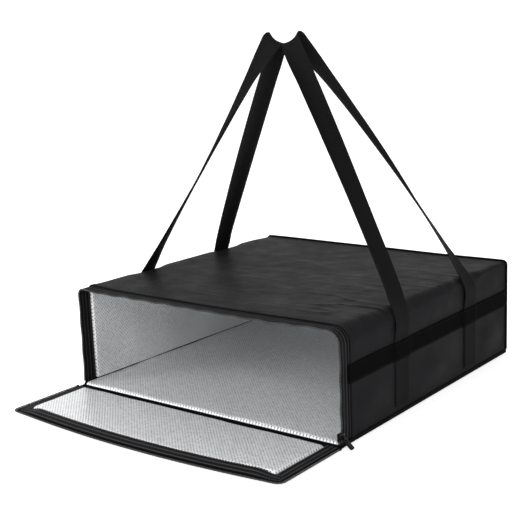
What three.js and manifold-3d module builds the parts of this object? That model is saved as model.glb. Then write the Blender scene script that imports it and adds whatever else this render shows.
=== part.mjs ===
// Insulated pizza delivery bag: a padded shell, a zipped front flap and two long webbing handles.
// Millimetres. The origin is the middle of the base under the bag's walls, with X across the
// mouth, the mouth towards -Y and Z up. The flap lies open on the ground.

import * as THREE from 'three';
import { mergeVertices } from 'three/addons/utils/BufferGeometryUtils.js';
import Module from 'manifold-3d';

const wasm = await Module();
wasm.setup();

// Driving sizes of the bag
const bagWidth = 508;
const bagDepth = 483;
const bagHeight = 163;
const foldRadius = 22;

// Layers of a wall, from the outside in
const fabricThickness = 1;
const foamThickness = 5;
const liningThickness = 0.5;
const layerGap = 0.3;

// Zipper
const tapeThickness = 0.8;
const tapeReach = 21.5;
const tapeSewnIn = 8;
const coreHalf = 0.9;
const toothReach = 0.9;
const toothHalf = 1.1;
const toothPitch = 6;
const stopLength = 3.7;
const stopHalf = 1.3;

// Flap
const flapOverhang = 5;
const flapLength = 155;
const flapCornerRadius = 28;
const flapCrownRadius = 1900;
const flapFoamThickness = 4;
const flapBorder = 24;
const hingeFromWall = 33.5;

// Webbing
const webbingWidth = 38;
const webbingThickness = 1.6;
const frontStrapY = -108;
const rearStrapY = 103;
const strapBottom = 14;
const bandWidth = 28;
const bandThickness = 1.4;
const bandBottom = 84;
const bandRamp = 7;

// Handles, which lean in until they meet above the bag
const handleLean = THREE.MathUtils.degToRad(31);
const apexY = -24;
const apexRadius = 8;
const legFlat = 26;
const handleMeetingGap = 0.6;

// Trims
const pipingRadius = 2;
const bindingHeight = 9;
const bindingThickness = 1.2;
const bindingFront = 14.5;
const hingeBindingThickness = 2.4;

// Slider and its pull
const sliderLength = 12;
const sliderNarrowing = 0.8;
const sliderPlate = 1.4;
const sliderCorner = 1.6;
const sliderFlange = 1;
const sliderPostHalf = 0.6;
const sliderPostLength = 4;
const sliderRise = 14;
const bridgeLength = 8;
const bridgeHeight = 3.8;
const bridgeWidth = 2.4;
const bridgeWall = 1.4;
const pullLength = 20;
const pullWidth = 9;
const pullThickness = 1.4;
const pullWindow = 3.8;
const pullWindowLength = 4;
const pullCornerRadius = 3;
const pullGroundClearance = 0.5;

// Clearances shared by all pieces
const runClearance = 0.3;
const swingClearance = 1;
const overrun = 1;

// Steps of the round stretches
const foldSteps = 6;
const roundSteps = 8;
const crownSteps = 10;
const legSteps = 14;

// Sizes worked out from the ones above
const halfWidth = bagWidth / 2;
const halfDepth = bagDepth / 2;
const flapHalfWidth = halfWidth + flapOverhang;
const wallInner = fabricThickness + layerGap;
const foamInner = wallInner + foamThickness;
const liningOuter = foamInner + layerGap;
const liningInner = liningOuter + liningThickness;
const foldStart = bagHeight - foldRadius;
const tapeMiddle = wallInner + tapeThickness / 2;
const coreCentre = tapeReach + runClearance + coreHalf;
const chainTip = coreCentre + coreHalf + toothReach;
const hingeY = -halfDepth - hingeFromWall;
const hingeZ = fabricThickness;
const flapTapeLow = wallInner;
const flapTapeHigh = flapTapeLow + tapeThickness;
const layersFront = hingeY + liningInner + runClearance;
const strapOffset = layerGap + webbingThickness / 2;
const pipingAway = (pipingRadius + layerGap) * Math.SQRT1_2;
const bandBack = halfDepth + pipingAway - pipingRadius - layerGap;
const rollRadius = foldRadius + strapOffset;
const handlePivotZ = foldStart + rollRadius * Math.tan(handleLean / 2);

const materials = {
  fabric: new THREE.MeshStandardMaterial({ color: 0x1d1d20, roughness: 0.55, metalness: 0 }),
  webbing: new THREE.MeshStandardMaterial({ color: 0x141416, roughness: 0.85, metalness: 0 }),
  trim: new THREE.MeshStandardMaterial({ color: 0x101012, roughness: 0.7, metalness: 0 }),
  foil: new THREE.MeshStandardMaterial({ color: 0xc9ccd1, roughness: 0.3, metalness: 0.9 }),
  foam: new THREE.MeshStandardMaterial({ color: 0xe9e9e6, roughness: 0.9, metalness: 0 }),
  chain: new THREE.MeshStandardMaterial({ color: 0x2a2b2e, roughness: 0.4, metalness: 0 }),
  metal: new THREE.MeshStandardMaterial({ color: 0x1b1c1e, roughness: 0.25, metalness: 0.9 }),
};

const group = new THREE.Group();

// Adds one named piece to the bag.
function addPiece(name, geometry, material) {
  const mesh = new THREE.Mesh(geometry, material);
  mesh.name = name;
  group.add(mesh);
}

// A rectangle as a counter-clockwise profile.
function rectangle(low, high) {
  return [[low[0], low[1]], [high[0], low[1]], [high[0], high[1]], [low[0], high[1]]];
}

// A regular round profile about the station's own point.
function round(radius, steps) {
  return Array.from({ length: steps }, (_, i) => {
    const angle = (i / steps) * 2 * Math.PI;
    return [radius * Math.cos(angle), radius * Math.sin(angle)];
  });
}

// Carries a profile along stations. A station has a point and two directions u and v, with
// u cross v pointing along the path, and the profile may change from one to the next.
function loft(stations, profileAt) {
  const sides = profileAt(0).length;
  const points = stations.flatMap((station, i) => profileAt(i).map(([a, b]) => station.at.clone()
    .addScaledVector(station.u, a).addScaledVector(station.v, b)));
  const index = [];
  for (let i = 0; i + 1 < stations.length; i += 1) {
    for (let j = 0; j < sides; j += 1) {
      const next = (j + 1) % sides;
      const [a, b] = [i * sides + j, i * sides + next];
      index.push(a, b, b + sides, a, b + sides, a + sides);
    }
  }
  const last = (stations.length - 1) * sides;
  const capOf = (i) => THREE.ShapeUtils.triangulateShape(
    profileAt(i).map(([a, b]) => new THREE.Vector2(a, b)), []);
  capOf(0).forEach(([a, b, c]) => index.push(a, c, b));
  capOf(stations.length - 1).forEach(([a, b, c]) => index.push(last + a, last + b, last + c));
  const geometry = new THREE.BufferGeometry().setFromPoints(points);
  geometry.setIndex(index);
  return geometry;
}

// Where a flat path's lines end and its arcs step, as shares of its length.
function breakShares(path, arcSteps) {
  const lengths = path.getCurveLengths();
  const total = lengths[lengths.length - 1];
  return path.curves.flatMap((curve, i) => {
    const start = i ? lengths[i - 1] : 0;
    const steps = curve.isEllipseCurve ? arcSteps : 1;
    return Array.from({ length: steps }, (_, k) => (start + ((lengths[i] - start) * k) / steps) / total);
  }).concat(1);
}

// Even shares of a path, each about the wanted distance from the next.
function evenShares(path, distance) {
  const count = Math.round(path.getLength() / distance);
  return Array.from({ length: count + 1 }, (_, i) => i / count);
}

// The points of a flat path at some shares, each with the direction to its right.
function walk(path, shares) {
  return shares.map((share) => {
    const tangent = path.getTangentAt(share);
    return { point: path.getPointAt(share), side: new THREE.Vector2(tangent.y, -tangent.x) };
  });
}

// The arch of the walls in the XZ plane, drawn in from the outside by an inset.
function archPath(inset, bottom) {
  const half = halfWidth - inset;
  const radius = foldRadius - inset;
  const centre = halfWidth - foldRadius;
  const path = new THREE.Path();
  path.moveTo(-half, bottom);
  path.lineTo(-half, foldStart);
  path.absarc(-centre, foldStart, radius, Math.PI, Math.PI / 2, true);
  path.lineTo(centre, bagHeight - inset);
  path.absarc(centre, foldStart, radius, Math.PI / 2, 0, true);
  path.lineTo(half, bottom);
  return path;
}

// Stations round the arch at one depth, with u towards the mouth and v into the bag.
function archStations(path, shares, y) {
  return walk(path, shares).map(({ point, side }) => ({
    at: new THREE.Vector3(point.x, y, point.y),
    u: new THREE.Vector3(0, -1, 0),
    v: new THREE.Vector3(side.x, 0, side.y),
  }));
}

// Extrudes a flat outline drawn in X and Z from one depth to another.
function alongDepth(shape, yFront, yBack) {
  const geometry = new THREE.ExtrudeGeometry(shape, {
    depth: yBack - yFront, bevelEnabled: false, curveSegments: foldSteps,
  });
  geometry.rotateX(Math.PI / 2);
  geometry.translate(0, yBack, 0);
  return geometry;
}

// Extrudes a flat outline drawn in X and Y from one height to another.
function upwards(shape, zLow, zHigh) {
  const geometry = new THREE.ExtrudeGeometry(shape, {
    depth: zHigh - zLow, bevelEnabled: false, curveSegments: foldSteps,
  });
  geometry.translate(0, 0, zLow);
  return geometry;
}

// A rectangle between two corners as a shape.
function rectangleShape(low, high) {
  return new THREE.Shape(rectangle(low, high).map(([a, b]) => new THREE.Vector2(a, b)));
}

// A layer that goes up one wall, over the top and down the other.
function archLayer(inset, thickness, bottom) {
  const outer = archPath(inset, bottom);
  const inner = archPath(inset + thickness, bottom);
  const shape = new THREE.Shape(outer.getPoints(foldSteps));
  inner.getPoints(foldSteps).reverse().forEach((point) => shape.lineTo(point.x, point.y));
  return shape;
}

// The end wall's outline, drawn in by an inset.
function endOutline(inset, bottom) {
  return new THREE.Shape(archPath(inset, bottom).getPoints(foldSteps));
}

// Shell fabric, foam and foil lining

const wallsFront = -halfDepth;
const foamFront = wallsFront + tapeSewnIn + runClearance;
const backInner = halfDepth - fabricThickness - layerGap;
const foamBackInner = backInner - foamThickness;
const liningBackOuter = foamBackInner - layerGap;
const liningBackInner = liningBackOuter - liningThickness;
const floorInner = liningInner + layerGap;
const sideFoamTop = foldStart - layerGap;
const baseFoamHalf = halfWidth - tapeMiddle - stopHalf - runClearance;

function addShell() {
  addPiece('outer_wrap', alongDepth(archLayer(0, fabricThickness, wallInner), wallsFront, backInner),
    materials.fabric);
  addPiece('outer_back', alongDepth(endOutline(0, wallInner), halfDepth - fabricThickness, halfDepth),
    materials.fabric);
  addPiece('outer_base', upwards(rectangleShape([-halfWidth, hingeY + runClearance],
    [halfWidth, halfDepth]), 0, fabricThickness), materials.fabric);
}

function addFoam() {
  addPiece('foam_top', alongDepth(archLayer(wallInner, foamThickness, foldStart), foamFront,
    liningBackOuter), materials.foam);
  for (const [name, side] of [['foam_left', -1], ['foam_right', 1]]) {
    const edges = [side * (halfWidth - wallInner), side * (halfWidth - foamInner)];
    const shape = rectangleShape([Math.min(...edges), liningOuter], [Math.max(...edges), sideFoamTop]);
    addPiece(name, alongDepth(shape, foamFront, liningBackOuter), materials.foam);
  }
  addPiece('foam_back', alongDepth(endOutline(wallInner, liningOuter), foamBackInner, backInner),
    materials.foam);
  addPiece('foam_base', upwards(rectangleShape([-baseFoamHalf, layersFront],
    [baseFoamHalf, backInner]), wallInner, foamInner), materials.foam);
}

function addLining() {
  addPiece('lining_walls', alongDepth(archLayer(liningOuter, liningThickness, floorInner),
    wallsFront + layerGap, liningBackInner - layerGap), materials.foil);
  addPiece('lining_floor', upwards(rectangleShape([-(halfWidth - liningOuter), layersFront],
    [halfWidth - liningOuter, liningBackInner - layerGap]), liningOuter, liningInner), materials.foil);
  addPiece('lining_back', alongDepth(endOutline(liningOuter, liningOuter), liningBackInner,
    liningBackOuter), materials.foil);
}

// Trims of the shell

// The strip that binds the fabric's lower edge round both sides and the back.
function addBaseBinding() {
  const middle = layerGap + bindingThickness / 2;
  const path = new THREE.Path();
  const front = wallsFront - bindingFront;
  path.moveTo(-halfWidth - middle, front);
  path.lineTo(-halfWidth - middle, halfDepth);
  path.absarc(-halfWidth, halfDepth, middle, Math.PI, Math.PI / 2, true);
  path.lineTo(halfWidth, halfDepth + middle);
  path.absarc(halfWidth, halfDepth, middle, Math.PI / 2, 0, true);
  path.lineTo(halfWidth + middle, front);
  const stations = walk(path, breakShares(path, foldSteps)).map(({ point, side }) => ({
    at: new THREE.Vector3(point.x, point.y, 0),
    u: new THREE.Vector3(0, 0, 1),
    v: new THREE.Vector3(side.x, side.y, 0),
  }));
  const half = bindingThickness / 2;
  const profile = rectangle([layerGap, -half], [layerGap + bindingHeight, half]);
  addPiece('base_binding', loft(stations, () => profile), materials.trim);
}

// The cord sewn round the back wall's seam, outside its corner.
function addBackPiping() {
  const path = archPath(-pipingAway, layerGap + bindingHeight + layerGap);
  const stations = archStations(path, breakShares(path, foldSteps), halfDepth + pipingAway);
  const profile = round(pipingRadius, roundSteps);
  addPiece('back_piping', loft(stations, () => profile), materials.trim);
}

// The sewn fold across the base's front edge, clear of the flap's tape when the flap stands up.
function addHingeBinding() {
  const front = hingeY + flapTapeHigh - hingeZ + runClearance;
  const shape = rectangleShape([-baseFoamHalf, front], [baseFoamHalf, layersFront - layerGap]);
  addPiece('hinge_binding', upwards(shape, wallInner, wallInner + hingeBindingThickness),
    materials.trim);
}

// Zipper chain: a core with wedge teeth, as a profile that widens once in each pitch.
const chainCore = { tip: coreHalf, half: coreHalf };
const chainTooth = { tip: coreHalf + toothReach, half: toothHalf };

// One side of the zipper's elements along stations whose u points to the other side.
function chain(stations) {
  const profiles = stations.map((_, i) => {
    const ring = i % 2 ? chainTooth : chainCore;
    return rectangle([-coreHalf, -ring.half], [ring.tip, ring.half]);
  });
  return loft(stations, (i) => profiles[i]);
}

// Mouth side of the zipper
const mouthTapeBottom = wallInner;
const mouthChainBottom = mouthTapeBottom + stopLength + runClearance;

function addMouthZipper() {
  const tapePath = archPath(tapeMiddle, mouthTapeBottom);
  const half = tapeThickness / 2;
  const profile = rectangle([-tapeSewnIn, -half], [tapeReach, half]);
  addPiece('mouth_tape', loft(archStations(tapePath, breakShares(tapePath, foldSteps), wallsFront),
    () => profile), materials.trim);

  const chainPath = archPath(tapeMiddle, mouthChainBottom);
  addPiece('mouth_chain', chain(archStations(chainPath, evenShares(chainPath, toothPitch / 2),
    wallsFront - coreCentre)), materials.chain);

  for (const [name, side] of [['mouth_stop_left', -1], ['mouth_stop_right', 1]]) {
    const x = side * (halfWidth - tapeMiddle);
    const shape = rectangleShape([x - stopHalf, wallsFront - chainTip],
      [x + stopHalf, wallsFront - tapeReach - runClearance]);
    addPiece(name, upwards(shape, mouthTapeBottom, mouthTapeBottom + stopLength), materials.metal);
  }
}

// Flap

// The flap's edge in X and Y, from the right end of the hinge round the front to the left end.
function flapPath(inset, rear) {
  const half = flapHalfWidth - inset;
  const corner = flapHalfWidth - flapCornerRadius;
  const crownY = hingeY - flapLength + flapCrownRadius;
  const between = flapCrownRadius - flapCornerRadius;
  const cornerY = crownY - Math.sqrt(between ** 2 - corner ** 2);
  const tilt = Math.asin(corner / between);
  const down = -Math.PI / 2;
  const path = new THREE.Path();
  path.moveTo(half, rear);
  path.lineTo(half, cornerY);
  path.absarc(corner, cornerY, flapCornerRadius - inset, 0, down + tilt, true);
  path.absarc(0, crownY, flapCrownRadius - inset, down + tilt, down - tilt, true);
  path.absarc(-corner, cornerY, flapCornerRadius - inset, down - tilt, -Math.PI, true);
  path.lineTo(-half, rear);
  return path;
}

// A plate with the flap's outline, drawn in by an inset.
function flapPlate(inset, rear, zLow, zHigh) {
  return upwards(new THREE.Shape(flapPath(inset, rear).getPoints(crownSteps)), zLow, zHigh);
}

const flapRear = hingeY - runClearance;
const flapPadRear = hingeY - liningInner - layerGap;
const flapChainCore = toothReach + coreHalf;
const flapTapeInset = flapChainCore + coreHalf + runClearance;
const flapFoamLow = wallInner;
const flapFoamHigh = flapFoamLow + flapFoamThickness;
const flapLiningLow = flapFoamHigh + layerGap;
const flapPadInset = flapBorder + runClearance;

function addFlap() {
  addPiece('flap_outer', flapPlate(flapTapeInset, flapRear, 0, fabricThickness), materials.fabric);
  addPiece('flap_foam', flapPlate(flapPadInset, flapPadRear, flapFoamLow, flapFoamHigh),
    materials.foam);
  addPiece('flap_lining', flapPlate(flapPadInset, flapPadRear, flapLiningLow,
    flapLiningLow + liningThickness), materials.foil);

  const tape = new THREE.Shape(flapPath(flapTapeInset, flapRear).getPoints(crownSteps));
  flapPath(flapBorder, flapRear).getPoints(crownSteps).reverse()
    .forEach((point) => tape.lineTo(point.x, point.y));
  addPiece('flap_tape', upwards(tape, flapTapeLow, flapTapeHigh), materials.trim);

  const chainRear = flapRear - stopLength - runClearance;
  const path = flapPath(flapChainCore, chainRear);
  const middle = (flapTapeLow + flapTapeHigh) / 2;
  const stations = walk(path, evenShares(path, toothPitch / 2)).map(({ point, side }) => ({
    at: new THREE.Vector3(point.x, point.y, middle),
    u: new THREE.Vector3(-side.x, -side.y, 0),
    v: new THREE.Vector3(0, 0, 1),
  }));
  addPiece('flap_chain', chain(stations), materials.chain);

  for (const [name, side] of [['flap_stop_left', -1], ['flap_stop_right', 1]]) {
    const edges = [side * flapHalfWidth, side * (flapHalfWidth - flapTapeInset + runClearance)];
    const shape = rectangleShape([Math.min(...edges), flapRear - stopLength],
      [Math.max(...edges), flapRear]);
    addPiece(name, upwards(shape, middle - stopHalf, middle + stopHalf), materials.metal);
  }
}

// Webbing on the side walls

const strapTop = handlePivotZ - swingClearance;

// The four sewn ends of the handles, flat on the side walls.
function addStraps() {
  for (const [sideName, side] of [['left', -1], ['right', 1]]) {
    for (const [endName, y] of [['front', frontStrapY], ['rear', rearStrapY]]) {
      const x = side * (halfWidth + strapOffset);
      const half = webbingThickness / 2;
      const shape = rectangleShape([x - half, strapBottom], [x + half, strapTop]);
      addPiece(`strap_${sideName}_${endName}`,
        alongDepth(shape, y - webbingWidth / 2, y + webbingWidth / 2), materials.webbing);
    }
  }
}

// The band along each side wall, which rises over the two straps it crosses.
function addBands() {
  const flat = layerGap + bandThickness / 2;
  const raised = flat + webbingThickness + layerGap;
  const reach = webbingWidth / 2 + layerGap;
  const route = [[wallsFront + layerGap, flat]];
  for (const y of [frontStrapY, rearStrapY]) {
    route.push([y - reach - bandRamp, flat], [y - reach, raised]);
    route.push([y + reach, raised], [y + reach + bandRamp, flat]);
  }
  route.push([bandBack, flat]);
  for (const [name, side] of [['band_left', -1], ['band_right', 1]]) {
    const stations = route.map(([y, out]) => ({
      at: new THREE.Vector3(side * (halfWidth + out), y, bandBottom),
      u: new THREE.Vector3(0, 0, 1),
      v: new THREE.Vector3(1, 0, 0),
    }));
    const half = bandThickness / 2;
    const profile = rectangle([0, -half], [bandWidth, half]);
    addPiece(name, loft(stations, () => profile), materials.webbing);
  }
}

// Handles

// The line of a handle in its leaning plane: Y across and S up the slope from the pivot.
function handleLine(slopeLength) {
  const centre = new THREE.Vector2(apexY, slopeLength - apexRadius);
  const start = swingClearance;
  const touch = (y, sign) => {
    const away = new THREE.Vector2(y, start).sub(centre);
    const turn = Math.acos(apexRadius / away.length());
    return Math.atan2(away.y, away.x) - sign * turn;
  };
  const frontAngle = touch(frontStrapY, 1) + 2 * Math.PI;
  const rearAngle = touch(rearStrapY, -1);
  const onArc = (angle) => centre.clone()
    .add(new THREE.Vector2(Math.cos(angle), Math.sin(angle)).multiplyScalar(apexRadius));
  return { start, frontAngle, rearAngle, onArc };
}

// A webbing loop. Its width lies along Y at the wall and turns a quarter turn up each leg, so
// that at the top it lies square to the leaning plane and the webbing can bend over.
function handle(side) {
  const pivot = new THREE.Vector3(side * (halfWidth + strapOffset), 0, handlePivotZ);
  const slope = new THREE.Vector3(-side * Math.sin(handleLean), 0, Math.cos(handleLean));
  const outwards = new THREE.Vector3(side * Math.cos(handleLean), 0, Math.sin(handleLean));
  const across = new THREE.Vector3(0, 1, 0);
  const reach = halfWidth + strapOffset - handleMeetingGap / 2
    - (webbingWidth / 2) * Math.cos(handleLean) - (webbingThickness / 2) * Math.sin(handleLean);
  const line = handleLine(reach / Math.sin(handleLean));
  const place = (point) => pivot.clone().addScaledVector(across, point.x)
    .addScaledVector(slope, point.y);
  const legEnds = [
    [new THREE.Vector2(frontStrapY, line.start), line.onArc(line.frontAngle)],
    [line.onArc(line.rearAngle), new THREE.Vector2(rearStrapY, line.start)],
  ];

  const stations = [];
  const addStation = (point, along, turned, sign) => {
    const tangent = across.clone().multiplyScalar(along.x).addScaledVector(slope, along.y);
    const level = new THREE.Vector3().crossVectors(outwards, tangent).normalize();
    if (level.y * sign < 0) level.negate();
    const straightened = Math.max(0, 1 - (point.y - line.start) / legFlat);
    level.lerp(across.clone().multiplyScalar(sign), straightened).normalize();
    const u = level.multiplyScalar(Math.cos(turned)).addScaledVector(outwards, Math.sin(turned));
    stations.push({ at: place(point), u, v: new THREE.Vector3().crossVectors(tangent, u) });
  };
  const quarter = Math.PI / 2;
  const [frontLeg, rearLeg] = legEnds;
  const along = (ends) => ends[1].clone().sub(ends[0]).normalize();
  const turnedAt = (ends, share) => {
    const flat = legFlat / ends[0].distanceTo(ends[1]);
    return quarter * Math.max(0, (share - flat) / (1 - flat));
  };
  for (let i = 0; i < legSteps; i += 1) {
    const share = i / legSteps;
    addStation(frontLeg[0].clone().lerp(frontLeg[1], share), along(frontLeg),
      turnedAt(frontLeg, share), 1);
  }
  for (let i = 0; i <= roundSteps; i += 1) {
    const angle = THREE.MathUtils.lerp(line.frontAngle, line.rearAngle, i / roundSteps);
    const direction = new THREE.Vector2(Math.sin(angle), -Math.cos(angle));
    addStation(line.onArc(angle), direction, quarter, 1);
  }
  for (let i = 1; i <= legSteps; i += 1) {
    const share = i / legSteps;
    addStation(rearLeg[0].clone().lerp(rearLeg[1], share), along(rearLeg),
      turnedAt(rearLeg, 1 - share), -1);
  }
  const half = [webbingWidth / 2, webbingThickness / 2];
  const profile = rectangle([-half[0], -half[1]], half);
  return loft(stations, () => profile);
}

function addHandles() {
  addPiece('handle_left', handle(-1), materials.webbing);
  addPiece('handle_right', handle(1), materials.webbing);
}

// Slider and pull

// Turns a closed geometry into a solid that can be cut and joined.
function solidOf(geometry) {
  const bare = geometry.clone();
  bare.deleteAttribute('normal');
  bare.deleteAttribute('uv');
  const merged = mergeVertices(bare);
  return new wasm.Manifold(new wasm.Mesh({
    numProp: 3,
    vertProperties: new Float32Array(merged.attributes.position.array),
    triVerts: new Uint32Array(merged.index.array),
  }));
}

function geometryOf(solid) {
  const mesh = solid.getMesh();
  const geometry = new THREE.BufferGeometry();
  geometry.setAttribute('position', new THREE.BufferAttribute(new Float32Array(mesh.vertProperties), 3));
  geometry.setIndex(Array.from(mesh.triVerts));
  return geometry;
}

// The slider's own frame: its Y is the bag's Y across the zipper, its Z is up the zipper, and
// its X is the bag's X, out of the bag, with the tape's middle at 0.
const sliderX = halfWidth - tapeMiddle;
const postCentre = chainTip + runClearance + sliderPostHalf;
const sliderY = -halfDepth - postCentre;
const channelHalfWidth = postCentre - tapeReach;
const sliderHalfWidth = channelHalfWidth + sliderFlange + sliderNarrowing;
const channelHalf = toothHalf + runClearance;
const plateOuter = channelHalf + sliderPlate;
const slotHalf = tapeThickness / 2 + runClearance;
const pullBarRadius = pullThickness / 2;
const pullPivot = plateOuter + pullBarRadius + runClearance;

// The outline of a slider plate in Y and Z: shoulders above, drawn in towards the lower end.
function plateOutline() {
  const half = sliderLength / 2;
  const wide = sliderHalfWidth;
  const narrow = wide - sliderNarrowing;
  const corner = sliderCorner;
  const shape = new THREE.Shape();
  shape.moveTo(-narrow + corner, -half);
  shape.lineTo(narrow - corner, -half);
  shape.quadraticCurveTo(narrow, -half, narrow, -half + corner);
  shape.lineTo(wide, half - corner);
  shape.quadraticCurveTo(wide, half, wide - corner, half);
  shape.lineTo(-wide + corner, half);
  shape.quadraticCurveTo(-wide, half, -wide, half - corner);
  shape.lineTo(-narrow, -half + corner);
  shape.quadraticCurveTo(-narrow, -half, -narrow + corner, -half);
  return shape;
}

// Extrudes an outline drawn in Y and Z from one X to another.
function outwardsSolid(shape, low, high) {
  const geometry = new THREE.ExtrudeGeometry(shape, {
    depth: high - low, bevelEnabled: false, curveSegments: roundSteps / 2,
  });
  geometry.translate(0, 0, low);
  geometry.applyMatrix4(new THREE.Matrix4().makeBasis(new THREE.Vector3(0, 1, 0),
    new THREE.Vector3(0, 0, 1), new THREE.Vector3(1, 0, 0)));
  return solidOf(geometry);
}

// Extrudes an outline drawn in Z and X across the slider, both ways from its middle.
function acrossSolid(shape, width) {
  const geometry = new THREE.ExtrudeGeometry(shape, {
    depth: width, bevelEnabled: false, curveSegments: roundSteps,
  });
  geometry.translate(0, 0, -width / 2);
  geometry.applyMatrix4(new THREE.Matrix4().makeBasis(new THREE.Vector3(0, 0, 1),
    new THREE.Vector3(1, 0, 0), new THREE.Vector3(0, 1, 0)));
  return solidOf(geometry);
}

// The arched bridge on the outer plate, which the pull's bar runs under.
function bridgeSolid() {
  const half = bridgeLength / 2;
  const outer = new THREE.Shape();
  outer.absellipse(0, plateOuter, half, bridgeHeight, 0, Math.PI, false);
  const hollow = new THREE.Shape();
  const inner = [half - bridgeWall, bridgeHeight - bridgeWall];
  hollow.moveTo(inner[0], plateOuter);
  hollow.absellipse(0, plateOuter, inner[0], inner[1], 0, Math.PI, false);
  const foot = outwardsSolid(rectangleShape([-bridgeWidth / 2, -half], [bridgeWidth / 2, half]),
    channelHalf, plateOuter + runClearance / 2);
  return acrossSolid(outer, bridgeWidth).add(foot)
    .subtract(acrossSolid(hollow, bridgeWidth + 2 * overrun));
}

function addSlider() {
  const walls = outwardsSolid(plateOutline(), -plateOuter, plateOuter);
  const reach = sliderLength / 2 + overrun;
  const channel = outwardsSolid(rectangleShape([-channelHalfWidth, -reach],
    [channelHalfWidth, reach]), -channelHalf, channelHalf);
  const slots = outwardsSolid(rectangleShape([-sliderHalfWidth - overrun, -reach],
    [sliderHalfWidth + overrun, reach]), -slotHalf, slotHalf);
  const top = sliderLength / 2;
  const post = outwardsSolid(rectangleShape([-sliderPostHalf, top - sliderPostLength],
    [sliderPostHalf, top]), -plateOuter, plateOuter);
  const body = walls.subtract(channel).subtract(slots).add(post).add(bridgeSolid());
  const geometry = geometryOf(body);
  geometry.translate(sliderX, sliderY, sliderRise);
  addPiece('zip_slider', geometry, materials.metal);
}

// The pull in its own frame: it hangs along -Z from its bar, which lies along Y.
function pullSolid() {
  const half = pullWidth / 2;
  const window = [pullWindow / 2, pullBarRadius + pullWindowLength];
  const tab = new THREE.Shape();
  tab.moveTo(-half, 0);
  tab.lineTo(-half, -pullLength + pullCornerRadius);
  tab.quadraticCurveTo(-half, -pullLength, -half + pullCornerRadius, -pullLength);
  tab.lineTo(half - pullCornerRadius, -pullLength);
  tab.quadraticCurveTo(half, -pullLength, half, -pullLength + pullCornerRadius);
  tab.lineTo(half, 0);
  const bar = new THREE.Shape();
  bar.absarc(0, 0, pullBarRadius, 0, 2 * Math.PI, false);
  const slot = rectangleShape([-window[0], -window[1]], [window[0], -pullBarRadius]);
  return outwardsSolid(tab, -pullThickness / 2, pullThickness / 2)
    .subtract(outwardsSolid(slot, -pullThickness, pullThickness))
    .add(acrossSolid(bar, pullWidth));
}

// The pull leans out from the slider until its end is just above the ground.
function addPull() {
  const drop = (sliderRise - pullGroundClearance - pullThickness / 2) / pullLength;
  const geometry = geometryOf(pullSolid());
  geometry.rotateY(-Math.acos(drop));
  geometry.translate(sliderX + pullPivot, sliderY, sliderRise);
  addPiece('zip_pull', geometry, materials.metal);
}

addShell();
addFoam();
addLining();
addBaseBinding();
addBackPiping();
addHingeBinding();
addMouthZipper();
addFlap();
addStraps();
addBands();
addHandles();
addSlider();
addPull();

export default group;
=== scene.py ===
"""The looks of an insulated pizza delivery bag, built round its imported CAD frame.

Metres throughout. X runs across the mouth, Y into the bag and Z up, with the origin on the ground
under the middle of the walls. The bag stands open, with its flap let down on the ground.
"""

import math

import bpy
import numpy as np
from mathutils import Matrix, Vector


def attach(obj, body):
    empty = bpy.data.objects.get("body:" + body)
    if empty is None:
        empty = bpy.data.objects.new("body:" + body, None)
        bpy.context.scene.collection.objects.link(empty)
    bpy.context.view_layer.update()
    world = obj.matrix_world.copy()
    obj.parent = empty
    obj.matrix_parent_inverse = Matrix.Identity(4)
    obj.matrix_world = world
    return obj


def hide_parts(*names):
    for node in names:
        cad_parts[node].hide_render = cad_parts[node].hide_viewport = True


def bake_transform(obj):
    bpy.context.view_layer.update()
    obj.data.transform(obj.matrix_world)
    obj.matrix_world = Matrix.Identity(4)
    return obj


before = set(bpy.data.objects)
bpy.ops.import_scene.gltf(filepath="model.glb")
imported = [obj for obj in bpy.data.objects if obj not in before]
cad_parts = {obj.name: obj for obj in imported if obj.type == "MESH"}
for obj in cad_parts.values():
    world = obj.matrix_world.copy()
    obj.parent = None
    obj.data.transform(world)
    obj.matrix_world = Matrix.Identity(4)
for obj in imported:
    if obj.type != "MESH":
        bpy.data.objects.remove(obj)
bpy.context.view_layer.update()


def add_object(name, data):
    """A new object of the scene, at the origin."""
    thing = bpy.data.objects.new(name, data)
    bpy.context.scene.collection.objects.link(thing)
    return thing


# Camera

CAMERA_PLACE = Vector((1.0085, -1.3862, 0.5466))
CAMERA_AIM = Vector((-0.0829, 0.0, 0.1748))
CAMERA_ROLL = math.radians(-2.37)
SENSOR = 36.0
FOCAL_PIXELS = 1055.4
IMAGE_PIXELS = 522


def add_camera():
    """Looks from its place to its aim, with a small roll about that line."""
    data = bpy.data.cameras.new("camera")
    data.sensor_width = SENSOR
    data.lens = FOCAL_PIXELS * SENSOR / IMAGE_PIXELS
    data.clip_start, data.clip_end = 0.05, 60
    camera = add_object("camera", data)
    back = (CAMERA_PLACE - CAMERA_AIM).normalized()
    right = Vector((0, 0, 1)).cross(back).normalized()
    up = back.cross(right)
    turned_right = right * math.cos(CAMERA_ROLL) + up * math.sin(CAMERA_ROLL)
    turned_up = up * math.cos(CAMERA_ROLL) - right * math.sin(CAMERA_ROLL)
    turn = Matrix((turned_right, turned_up, back)).transposed()
    camera.matrix_world = Matrix.Translation(CAMERA_PLACE) @ turn.to_4x4()
    bpy.context.scene.camera = camera


add_camera()

# Sizes of the bag: half its width and depth, its height, and the folds beside its top

HALF_WIDTH = 0.254
HALF_DEPTH = 0.2415
HEIGHT = 0.163
FOLD = 0.022
FOLD_FRONT, FOLD_REAR = 0.024, 0.008
FOLD_LEFT, FOLD_AT_STRAP = 0.009, 0.017
TIGHTEST_FOLD = 0.0035
CLOTH = 0.001
CLOTH_STEP = 0.0034
CLOTH_HEM = 0.0013
FILM = 0.0005
PADDED_WALL = 0.0071
CAVITY_INSET = 0.0073
BASE_TOP = 0.0071

# Mouth tape: its inset under the cloth, the part sewn in, its free reach, and the coil on it

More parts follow.
